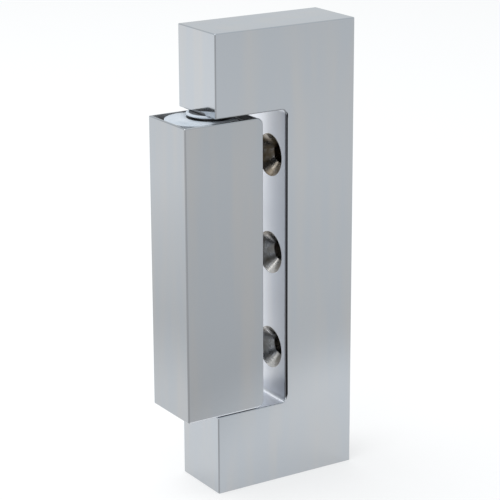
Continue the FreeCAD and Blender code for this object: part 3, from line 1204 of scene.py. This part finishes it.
@dataclass
class Bushing(Piece):
    """One nylon bushing: a round-nosed block with a thrust collar, keyed into the leaf.

    The upper one has a dome and a disc over it, with a groove between them, and painted shade darkens
    the groove and the disc's top. Their pairs give a radius in millimetres and a share of the collar's
    height.
    """

    places: Places
    finishes: Finishes
    node: str
    collar_up: bool
    leaf_wall: float = 1.6 * MM
    leaf_lip: float = 0.6 * MM
    column: float = 6.4 * MM
    fit: float = 0.04 * MM
    height: float = 12.0 * MM
    flange: float = 2.0 * MM
    nose_steps: int = 32
    corner_r: float = 0.6 * MM
    edge_r: float = 0.4 * MM
    soft_steps: int = 3
    collar_r: float = 3.7 * MM
    dome: tuple[tuple[float, float], ...] = (
        (9.4, 0.0), (8.8, 0.02), (8.2, 0.06), (7.6, 0.1), (7.0, 0.12), (6.4, 0.12),
    )
    disc: tuple[tuple[float, float], ...] = (
        (6.35, 0.62), (6.5, 0.68), (6.5, 0.86), (6.35, 0.93), (5.7, 1.0),
    )
    groove_r: float = 4.6
    # Reach of the painted shade round the pin's axis.
    painted_shade_radius: float = 6.2 * MM
    wide: float = 40.0 * MM
    running_fit: float = 0.05 * MM
    rider: Rider = Rider.LEAF
    slot: Slot = Slot.NYLON

    def build(self) -> None:
        """Builds the bushing and hands it over."""
        low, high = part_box(self.node)
        start = self.places.on_axis(0)
        if self.collar_up:
            block = self.blank(low.z, self.height - self.flange / 2, self.leaf_wall)
            piece = Shaper.hold(f"{self.node}_nylon", block, self.finishes.nylon)
            base = low.z + self.height - self.flange
            flange = self.blank(base, high.z - base, self.leaf_lip)
            Shaper.combine(piece, Shaper.hold("flange", flange, self.finishes.nylon), "UNION")
            form = Shaper.turned(self.shoulder_outline(low.z, high.z), start, Way.UP)
            Shaper.combine(piece, Shaper.hold("shoulder", form, self.finishes.nylon), "INTERSECT")
            self.dress_painted_shade(piece, low.z + self.height, high.z)
        else:
            base = high.z - self.height
            block = self.blank(base, self.height, self.leaf_wall)
            piece = Shaper.hold(f"{self.node}_nylon", block, self.finishes.nylon)
            form = Shaper.turned(self.collar_outline(low.z, base), start, Way.UP)
            Shaper.combine(piece, Shaper.hold("collar", form, self.finishes.nylon), "UNION")
        radius = self.places.pin_r + self.running_fit
        bore = Shaper.turned([(low.z - self.edge_r, radius), (high.z + self.edge_r, radius)], start, Way.UP)
        Shaper.cut(piece, [bore], self.finishes.nylon)
        Shaper.shade(piece)
        self.hand_over(piece, self.node)

    def dress_painted_shade(self, piece: bpy.types.Object, top: float, high: float) -> None:
        """Paints shade, as dark chrome, on the groove over the dome and on the top of the disc above it.

        Args:
            piece: the bushing.
            top: the height where the dome starts.
            high: the bushing's highest height.
        """
        floor, roof = (top + (high - top) * share for share in (self.dome[-1][1], self.disc[0][1]))
        axis = self.places.pin_axis.xy
        near = self.fit / 4
        Shaper.dress(
            piece,
            self.finishes.dull,
            lambda centre, normal: (centre.xy - axis).length < self.painted_shade_radius
            and (floor - near < centre.z < roof + near or centre.z > high - near),
        )

    def collar_outline(self, low: float, base: float) -> list[tuple[float, float]]:
        """Collar with a softened rim at its bearing face, which points down.

        Args:
            low: the bushing's lowest height.
            base: the lower face of its block.
        """
        soft = self.edge_r / 2
        inside = base + self.height / 2
        return [(low, self.collar_r - soft), (low + soft, self.collar_r), (inside, self.collar_r)]

    def shoulder_outline(self, low: float, high: float) -> list[tuple[float, float]]:
        """What is kept of the upper bushing: its block, and the dome, groove and disc on top of it.

        Args:
            low: the bushing's lowest height.
            high: its highest height, that of the disc's bearing face.
        """
        top = low + self.height
        groove = [(self.groove_r, self.dome[-1][1]), (self.groove_r, self.disc[0][1])]
        outline = [(low - self.edge_r, self.wide), (top, self.wide)]
        for radius, rise in (*self.dome, *groove, *self.disc):
            outline.append((top + (high - top) * rise, radius * MM))
        return outline

    def blank(self, base: float, height: float, wall: float) -> bmesh.types.BMesh:
        """Round-nosed block that fills the leaf's hollow.

        Args:
            base: the height of its lower face.
            height: how tall it is.
            wall: the leaf's wall round it.
        """
        low, high = self.places.leaf_low, self.places.leaf_high
        half = (high.y - low.y) / 2 - wall - self.fit
        middle = (low.y + high.y) / 2
        centre = low.x + wall + self.fit + half
        right = high.x - self.column - self.fit
        outline = [Vector((right, middle - half, base)), Vector((right, middle + half, base))]
        for step in range(self.nose_steps + 1):
            turn = math.radians(90 + 180 * step / self.nose_steps)
            outline.append(Vector((centre + half * math.cos(turn), middle + half * math.sin(turn), base)))
        form = Shaper.prism(outline, ALONG_Z * height)
        Shaper.soften(
            form,
            lambda edge: Shaper.runs_along(edge, ALONG_Z) and edge.verts[0].co.x > centre + half,
            self.corner_r,
            self.soft_steps,
        )
        Shaper.soften(form, Shaper.is_corner, self.edge_r, self.soft_steps)
        return form


@dataclass
class PinSet(Piece):
    """The steel pin, the plug under it and the screw that holds it."""

    places: Places
    finishes: Finishes
    trees: Trees
    chamfer: float = 0.6 * MM
    slot_width: float = 1.7 * MM
    slot_height: float = 36.61 * MM
    plug_chamfer: float = 0.4 * MM
    core_share: float = 0.84
    screw_pitch: float = 0.7 * MM
    screw_tip: float = 0.8 * MM
    key_flats: float = 2.0 * MM
    key_depth: float = 2.4 * MM
    rider: Rider = Rider.BODY
    slot: Slot = Slot.STEEL

    def build(self) -> None:
        """Builds the pin, the plug and the set screw, and hands them over."""
        self.hand_over(self.pin(), "hinge_pin")
        self.hand_over(self.set_screw(), "pin_set_screw")
        self.hand_over(self.screw_thread())
        plug = self.plug()
        self.hand_over(plug, "pin_plug")

    def rod(
        self, name: str, node: str, bevels: tuple[float, float], material: bpy.types.Material
    ) -> bpy.types.Object:
        """Upright rod of a node's size, with a bevel at each end.

        Args:
            name: the object's name.
            node: the node that gives its size.
            bevels: the lower and the upper bevel.
            material: its finish.
        """
        low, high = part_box(node)
        length = high.z - low.z
        radius = (high.x - low.x) / 2
        first, last = bevels
        outline = [(0, radius - first), (first, radius), (length - last, radius), (length, radius - last)]
        return Shaper.hold(name, Shaper.turned(outline, self.places.on_axis(low.z), Way.UP), material)

    def pin(self) -> bpy.types.Object:
        """Pin with bevelled ends and a cross slot for the spring's leg."""
        piece = self.rod("pin_steel", "hinge_pin", (self.chamfer, self.chamfer), self.finishes.steel)
        half = self.slot_width / 2
        centre = self.places.on_axis(self.slot_height)
        reach = Vector((half, 2 * self.places.pin_r, half))
        Shaper.cut(piece, [Shaper.block(centre - reach, centre + reach)], self.finishes.steel)
        Shaper.shade(piece)
        return piece

    def plug(self) -> bpy.types.Object:
        """Chromed plug with a bevelled lip."""
        bevels = (self.plug_chamfer, self.plug_chamfer / 4)
        piece = self.rod("plug_chrome", "pin_plug", bevels, self.finishes.chrome)
        Shaper.shade(piece)
        return piece

    def set_screw(self) -> bpy.types.Object:
        """Core of the headless screw, with its cone and its key socket."""
        low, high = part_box("pin_set_screw")
        radius = (high.x - low.x) / 2
        core = radius * self.core_share
        start = Vector(((low.x + high.x) / 2, low.y, (low.z + high.z) / 2))
        length = high.y - low.y
        outline = [(0, radius - self.screw_tip), (self.screw_tip, core), (length, core)]
        piece = Shaper.hold("set_screw_core", Shaper.turned(outline, start, Way.BACK), self.finishes.steel)
        corner = self.key_flats / math.sqrt(3)
        points = []
        for number in range(6):
            turn = math.radians(60 * number)
            offset = Vector((corner * math.cos(turn), length - self.key_depth, corner * math.sin(turn)))
            points.append(start + offset)
        key = Shaper.prism(points, ALONG_Y * (self.key_depth + self.screw_tip))
        Shaper.cut(piece, [key], self.finishes.steel)
        Shaper.shade(piece)
        return piece

    def screw_thread(self) -> bpy.types.Object:
        """Ridge of the set screw's thread, half sunk in its core."""
        low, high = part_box("pin_set_screw")
        radius = (high.x - low.x) / 2
        ridge = radius * (1 - self.core_share)
        length = high.y - low.y - self.screw_tip - 2 * ridge
        piece = Shaper.hold("set_screw_thread", bmesh.new(), self.finishes.steel)
        values = {
            "Turns": length / self.screw_pitch, "Radius": radius - ridge, "Length": length,
            "Ridge": ridge, "Material": self.finishes.steel,
        }
        self.trees.thread.run(piece, values)
        start = Vector(((low.x + high.x) / 2, low.y + self.screw_tip + ridge, (low.z + high.z) / 2))
        piece.data.transform(Matrix.Translation(start) @ Way.BACK.value.to_4x4())
        return piece


@dataclass
class ClosingSpring(Piece):
    """Torsion spring whose inner leg crosses the pin and whose tail bears on the leaf."""

    places: Places
    finishes: Finishes
    trees: Trees
    wire: float = 1.4 * MM
    corner: float = 0.25 * MM
    turns: int = 4
    pitch: float = 1.8 * MM
    bend_r: float = 1.2 * MM
    leg_past_pin: float = 1.2 * MM
    tail_clearance: float = 0.7 * MM
    steps_a_turn: int = 48
    rider: Rider = Rider.BODY
    slot: Slot = Slot.SPRING

    def build(self) -> None:
        """Builds the spring and hands it over."""
        path = bpy.data.curves.new("closing_spring_wire", "CURVE")
        path.dimensions = "3D"
        points = self.path_points()
        line = path.splines.new("POLY")
        line.points.add(len(points) - 1)
        for point, place in zip(line.points, points):
            point.co = (*place, 1)
        values = {"Width": self.wire, "Corner": self.corner, "Material": self.finishes.wire}
        piece = self.trees.wire.run(new_object("closing_spring_wire", path), values)
        Shaper.shade(piece, weighted=False)
        self.hand_over(piece, "closing_spring")

    def path_points(self) -> list[Vector]:
        """Centre line of the wire: the leg, its bend, the rising turns, and the tail."""
        low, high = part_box("closing_spring")
        axis = self.places.on_axis(low.z + self.wire / 2)
        coil_r = high.x - axis.x - self.wire / 2
        bend_turn = math.acos(-self.bend_r / (coil_r - self.bend_r))
        start_turn = bend_turn - math.pi
        outward = Vector((math.cos(start_turn), math.sin(start_turn), 0))
        bend_centre = axis + outward * (coil_r - self.bend_r)
        points = []
        bend_steps = self.steps_a_turn // 3
        for step in range(bend_steps + 1):
            turn = start_turn - bend_turn * (1 - step / bend_steps)
            points.append(bend_centre + Vector((math.cos(turn), math.sin(turn), 0)) * self.bend_r)
        leg_end = min(high.y - self.wire / 2, axis.y + self.places.pin_r + self.leg_past_pin)
        points.insert(0, Vector((points[0].x, leg_end, points[0].z)))
        sweep = 2 * math.pi * self.turns - start_turn
        coil_steps = round(self.steps_a_turn * sweep / (2 * math.pi))
        for step in range(1, coil_steps + 1):
            turn = start_turn + sweep * step / coil_steps
            rise = self.pitch * self.turns * step / coil_steps
            points.append(axis + Vector((math.cos(turn) * coil_r, math.sin(turn) * coil_r, rise)))
        points.append(Vector((points[-1].x, high.y - self.tail_clearance, points[-1].z)))
        return points


@dataclass(frozen=True)
class Lamp:
    """Soft square lamp: where it hangs, its side in metres and its power in watts."""

    name: str
    place: tuple[float, float, float]
    side: float
    watts: float


@dataclass
class Studio:
    """Pale floor, soft light and the camera of the photo."""

    places: Places
    floor_reach: float = 4.0
    paper: tuple[float, float, float] = (0.42, 0.42, 0.42)
    paper_lit: float = 0.47
    white: float = 1.04
    # Painted shade and light on the floor, which the chrome reflects: darker near the hinge, grey far in
    # front and brighter far behind.
    painted_near_shade: float = 0.78
    painted_levels_far_out: tuple[float, float] = (0.9, 1.08)
    near_reach: float = 0.1
    far_reach: float = 0.36
    # Where the white middle fades into the painted grey, in front and at the sides.
    front_fade: tuple[float, float] = (-0.06, -0.0215)
    side_fade: tuple[float, float] = (0.16, 0.08)
    side_spread: float = 0.125
    sky: tuple[float, float, float] = (0.955, 0.99, 1.015)
    sky_level: float = 0.78
    camera_azimuth: float = 32.31
    camera_elevation: float = 17.03
    camera_roll: float = -0.24
    camera_distance: float = 548.06 * MM
    camera_aside: tuple[float, float] = (2.93 * MM, -0.09 * MM)
    looked_at: tuple[float, float, float] = (21.0 * MM, 11.0 * MM, 65.0 * MM)
    lens: float = 140.955
    clip: tuple[float, float] = (0.01, 20.0)
    lamps: tuple[Lamp, ...] = (
        Lamp("top_lamp", (-0.25, 0.25, 0.9), 0.9, 4.2),
        Lamp("left_lamp", (-0.9, -0.5, 0.5), 0.7, 1.6),
    )

    def build(self) -> None:
        """Builds the floor, the sky, the lamps and the camera."""
        self.camera()
        self.floor()
        self.world()
        for lamp in self.lamps:
            self.hang(lamp)

    def camera(self) -> None:
        """Camera at the photo's angle; the point that it looks at is from the body's low corner."""
        azimuth = math.radians(self.camera_azimuth)
        elevation = math.radians(self.camera_elevation)
        roll = math.radians(self.camera_roll)
        flat = math.cos(elevation)
        forward = Vector((math.sin(azimuth) * flat, math.cos(azimuth) * flat, -math.sin(elevation)))
        right = Vector((math.cos(azimuth), -math.sin(azimuth), 0))
        up = right.cross(forward)
        turned_right = right * math.cos(roll) + up * math.sin(roll)
        turned_up = up * math.cos(roll) - right * math.sin(roll)
        aside = turned_right * self.camera_aside[0] + turned_up * self.camera_aside[1]
        eye = self.places.body_low + Vector(self.looked_at) - forward * self.camera_distance - aside
        data = bpy.data.cameras.new("camera")
        data.lens = self.lens
        data.clip_start, data.clip_end = self.clip
        camera = new_object("camera", data)
        turn = Matrix((turned_right, turned_up, -forward)).transposed()
        camera.matrix_world = Matrix.Translation(eye) @ turn.to_4x4()
        bpy.context.scene.camera = camera

    @staticmethod
    def is_seen(graph: NodeGraph) -> bpy.types.NodeSocket:
        """One for rays of the camera and of what metal and clear things show, nought for the others."""
        path = graph.add("ShaderNodeLightPath")
        seen = path.outputs["Is Camera Ray"]
        for other in ("Is Glossy Ray", "Is Transmission Ray"):
            seen = graph.reckon("MAXIMUM", seen, path.outputs[other])
        return seen

    def floor(self) -> None:
        """Pale floor: white where the camera looks, and painted grey in front, beside and near the hinge,
        for the metal to reflect.
        """
        form = bmesh.new()
        bmesh.ops.create_grid(form, x_segments=1, y_segments=1, size=self.floor_reach)
        graph = SurfaceGraph("pale_floor")
        lift = graph.reckon("SUBTRACT", self.floor_level(graph), self.paper_lit)
        graph.settle(Base_Color=(*self.paper, 1), Roughness=1.0, Specular_IOR_Level=0.0)
        graph.settle(Emission_Color=(1, 1, 1, 1))
        graph.feed(Emission_Strength=graph.reckon("MULTIPLY", lift, self.is_seen(graph)))
        floor = Shaper.hold("floor", form, graph.material)

    def floor_level(self, graph: SurfaceGraph) -> bpy.types.NodeSocket:
        """How bright the floor is seen, by its place, with painted shade near the hinge and painted grey or
        brighter levels far out.

        Args:
            graph: the floor's tree.

        Returns:
            The level, where 1 is white.
        """
        azimuth = math.radians(self.camera_azimuth)
        ahead = self.along(graph, (math.sin(azimuth), math.cos(azimuth), 0))
        aside = self.along(graph, (math.cos(azimuth), -math.sin(azimuth), 0))
        back = self.along(graph, (0, 1, 0))
        reach = graph.add("ShaderNodeVectorMath", {0: graph.place}, operation="LENGTH").outputs["Value"]
        # Painted levels: grey far in front, brighter far behind, and painted shade towards the hinge.
        far = graph.spread(back, *self.painted_levels_far_out, -self.near_reach, self.near_reach)
        painted_level = graph.spread(reach, self.painted_near_shade, far, self.near_reach, self.far_reach)
        wider = graph.reckon("MULTIPLY", ahead, self.side_spread)
        edge = graph.reckon("SUBTRACT", graph.reckon("ABSOLUTE", aside), wider)
        in_width = graph.spread(edge, 0.0, 1.0, *self.side_fade, "SMOOTHSTEP")
        in_front = graph.spread(ahead, 0.0, 1.0, *self.front_fade, "SMOOTHSTEP")
        return graph.spread(graph.reckon("MULTIPLY", in_width, in_front), painted_level, self.white, 0.0, 1.0)

    @staticmethod
    def along(graph: SurfaceGraph, way: tuple[float, float, float]) -> bpy.types.NodeSocket:
        """How far a place of the floor lies in a direction."""
        node = graph.add("ShaderNodeVectorMath", {0: graph.place, 1: way}, operation="DOT_PRODUCT")
        return node.outputs["Value"]

    def world(self) -> None:
        """Even sky."""
        world = bpy.data.worlds.new("studio")
        world.use_nodes = True
        graph = NodeGraph(world.node_tree)
        light = graph.add("ShaderNodeBackground", {"Color": (*self.sky, 1), "Strength": self.sky_level})
        output = graph.add("ShaderNodeOutputWorld")
        graph.link(light.outputs["Background"], output.inputs["Surface"])
        bpy.context.scene.world = world

    def hang(self, lamp: Lamp) -> None:
        """Hangs a lamp so that it points at the hinge."""
        data = bpy.data.lights.new(lamp.name, "AREA")
        data.size = lamp.side
        data.energy = lamp.watts
        place = Vector(lamp.place)
        middle = (self.places.body_low + self.places.body_high) / 2
        turn = (middle - place).to_track_quat("-Z", "Y").to_matrix().to_4x4()
        new_object(lamp.name, data).matrix_world = Matrix.Translation(place) @ turn


def main() -> None:
    """Builds every sub-assembly in turn."""
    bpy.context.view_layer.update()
    bpy.context.scene.view_settings.view_transform = "Standard"
    places = Places.from_frame()
    finishes = Finishes.build()
    trees = Trees()
    Studio(places).build()
    Casting(places, finishes, trees).build()
    Leaf(places, finishes, trees).build()
    Bushing(places, finishes, "upper_bushing", collar_up=True).build()
    Bushing(places, finishes, "lower_bushing", collar_up=False).build()
    PinSet(places, finishes, trees).build()
    ClosingSpring(places, finishes, trees).build()


if __name__ == "__main__":
    logging.basicConfig(level=logging.INFO, format="%(message)s")
    main()
